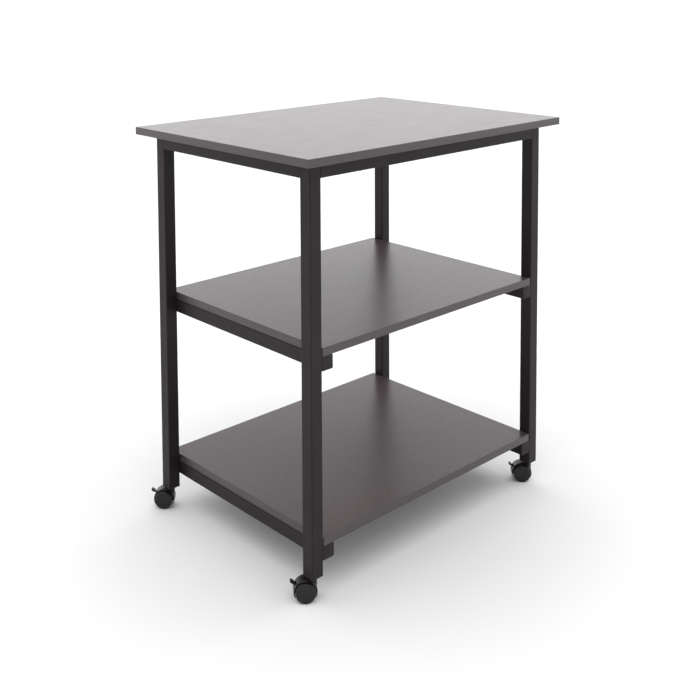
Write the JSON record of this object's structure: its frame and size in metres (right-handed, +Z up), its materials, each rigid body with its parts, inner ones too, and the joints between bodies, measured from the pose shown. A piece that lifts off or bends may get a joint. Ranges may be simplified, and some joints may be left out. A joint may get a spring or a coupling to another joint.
{
  "type": "mobile printer stand",
  "caption": "Mobile printer stand: square-tube steel frame with a top board, middle and bottom shelves, and braked twin-wheel swivel castors.",
  "frame": {"origin": "on the floor, under the centre of the top board", "axes": "+Z up, X along the stand's long side, -Y towards the front; at rest the castors trail towards -X and +Y"},
  "size_m": [0.72, 0.52, 0.793],
  "materials": {
    "frame_steel": "satin black powder coat",
    "board": "dark grey melamine-faced particle board, fine satin texture",
    "edge_banding": "dark grey edge banding, satin",
    "cap_plastic": "black moulded plastic",
    "spacer_nylon": "black nylon",
    "black_fastener": "black oxide",
    "bare_steel": "zinc plated steel",
    "castor_housing": "black moulded nylon, semi-gloss",
    "castor_wheel": "black moulded nylon, satin",
    "brake_lever": "black moulded nylon, satin"
  },
  "bodies": {
    "root": {"leg_front_left": "frame_steel", "leg_front_right": "frame_steel", "leg_rear_left": "frame_steel", "leg_rear_right": "frame_steel", "top_rail_front": "frame_steel", "top_rail_rear": "frame_steel", "top_rail_left": "frame_steel", "top_rail_right": "frame_steel", "middle_rail_left": "frame_steel", "middle_rail_right": "frame_steel", "bottom_rail_left": "frame_steel", "bottom_rail_right": "frame_steel", "leg_caps": "cap_plastic", "rail_end_caps": "cap_plastic", "leg_foot_plugs": "cap_plastic", "top_board": "board", "top_board_banding": "edge_banding", "top_board_spacers": "spacer_nylon", "top_board_screws": "black_fastener", "middle_shelf": "board", "middle_shelf_banding": "edge_banding", "middle_shelf_screws": "black_fastener", "bottom_shelf": "board", "bottom_shelf_banding": "edge_banding", "bottom_shelf_screws": "black_fastener", "castor_fl_stem": "bare_steel", "castor_fr_stem": "bare_steel", "castor_rl_stem": "bare_steel", "castor_rr_stem": "bare_steel"},
    "castor_fl_yoke": {"castor_fl_hood": "castor_housing", "castor_fl_axle": "bare_steel", "castor_fl_brake_pin": "bare_steel"},
    "castor_fl_wheel_a": {"castor_fl_wheel_a": "castor_wheel"},
    "castor_fl_wheel_b": {"castor_fl_wheel_b": "castor_wheel"},
    "castor_fl_brake": {"castor_fl_brake": "brake_lever"},
    "castor_fr_yoke": {"castor_fr_hood": "castor_housing", "castor_fr_axle": "bare_steel", "castor_fr_brake_pin": "bare_steel"},
    "castor_fr_wheel_a": {"castor_fr_wheel_a": "castor_wheel"},
    "castor_fr_wheel_b": {"castor_fr_wheel_b": "castor_wheel"},
    "castor_fr_brake": {"castor_fr_brake": "brake_lever"},
    "castor_rl_yoke": {"castor_rl_hood": "castor_housing", "castor_rl_axle": "bare_steel", "castor_rl_brake_pin": "bare_steel"},
    "castor_rl_wheel_a": {"castor_rl_wheel_a": "castor_wheel"},
    "castor_rl_wheel_b": {"castor_rl_wheel_b": "castor_wheel"},
    "castor_rl_brake": {"castor_rl_brake": "brake_lever"},
    "castor_rr_yoke": {"castor_rr_hood": "castor_housing", "castor_rr_axle": "bare_steel", "castor_rr_brake_pin": "bare_steel"},
    "castor_rr_wheel_a": {"castor_rr_wheel_a": "castor_wheel"},
    "castor_rr_wheel_b": {"castor_rr_wheel_b": "castor_wheel"},
    "castor_rr_brake": {"castor_rr_brake": "brake_lever"}
  },
  "joints": [
    {"name": "castor_front_left_swivel", "type": "hinge", "parent": "root", "child": "castor_fl_yoke", "pos_m": [-0.317, -0.217, 0.03], "axis": [0, 0, 1], "continuous": true},
    {"name": "castor_front_left_wheel_a_spin", "type": "hinge", "parent": "castor_fl_yoke", "child": "castor_fl_wheel_a", "pos_m": [-0.32803, -0.20838, 0.018], "axis": [0.6157, 0.788, 0], "continuous": true},
    {"name": "castor_front_left_wheel_b_spin", "type": "hinge", "parent": "castor_fl_yoke", "child": "castor_fl_wheel_b", "pos_m": [-0.32803, -0.20838, 0.018], "axis": [0.6157, 0.788, 0], "continuous": true},
    {"name": "castor_front_left_brake", "type": "hinge", "parent": "castor_fl_yoke", "child": "castor_fl_brake", "pos_m": [-0.34096, -0.19828, 0.017], "axis": [-0.6157, -0.788, 0], "range_deg": [0, 12]},
    {"name": "castor_front_right_swivel", "type": "hinge", "parent": "root", "child": "castor_fr_yoke", "pos_m": [0.317, -0.217, 0.03], "axis": [0, 0, 1], "continuous": true},
    {"name": "castor_front_right_wheel_a_spin", "type": "hinge", "parent": "castor_fr_yoke", "child": "castor_fr_wheel_a", "pos_m": [0.30728, -0.20693, 0.018], "axis": [0.7193, 0.6947, 0], "continuous": true},
    {"name": "castor_front_right_wheel_b_spin", "type": "hinge", "parent": "castor_fr_yoke", "child": "castor_fr_wheel_b", "pos_m": [0.30728, -0.20693, 0.018], "axis": [0.7193, 0.6947, 0], "continuous": true},
    {"name": "castor_front_right_brake", "type": "hinge", "parent": "castor_fr_yoke", "child": "castor_fr_brake", "pos_m": [0.29588, -0.19513, 0.017], "axis": [-0.7193, -0.6947, 0], "range_deg": [0, 12]},
    {"name": "castor_rear_left_swivel", "type": "hinge", "parent": "root", "child": "castor_rl_yoke", "pos_m": [-0.317, 0.217, 0.03], "axis": [0, 0, 1], "continuous": true},
    {"name": "castor_rear_left_wheel_a_spin", "type": "hinge", "parent": "castor_rl_yoke", "child": "castor_rl_wheel_a", "pos_m": [-0.32707, 0.22673, 0.018], "axis": [0.6947, 0.7193, 0], "continuous": true},
    {"name": "castor_rear_left_wheel_b_spin", "type": "hinge", "parent": "castor_rl_yoke", "child": "castor_rl_wheel_b", "pos_m": [-0.32707, 0.22673, 0.018], "axis": [0.6947, 0.7193, 0], "continuous": true},
    {"name": "castor_rear_left_brake", "type": "hinge", "parent": "castor_rl_yoke", "child": "castor_rl_brake", "pos_m": [-0.33887, 0.23812, 0.017], "axis": [-0.6947, -0.7193, 0], "range_deg": [0, 12]},
    {"name": "castor_rear_right_swivel", "type": "hinge", "parent": "root", "child": "castor_rr_yoke", "pos_m": [0.317, 0.217, 0.03], "axis": [0, 0, 1], "continuous": true},
    {"name": "castor_rear_right_wheel_a_spin", "type": "hinge", "parent": "castor_rr_yoke", "child": "castor_rr_wheel_a", "pos_m": [0.3066, 0.22637, 0.018], "axis": [0.6691, 0.7431, 0], "continuous": true},
    {"name": "castor_rear_right_wheel_b_spin", "type": "hinge", "parent": "castor_rr_yoke", "child": "castor_rr_wheel_b", "pos_m": [0.3066, 0.22637, 0.018], "axis": [0.6691, 0.7431, 0], "continuous": true},
    {"name": "castor_rear_right_brake", "type": "hinge", "parent": "castor_rr_yoke", "child": "castor_rr_brake", "pos_m": [0.29441, 0.23734, 0.017], "axis": [-0.6691, -0.7431, 0], "range_deg": [0, 12]}
  ]
}
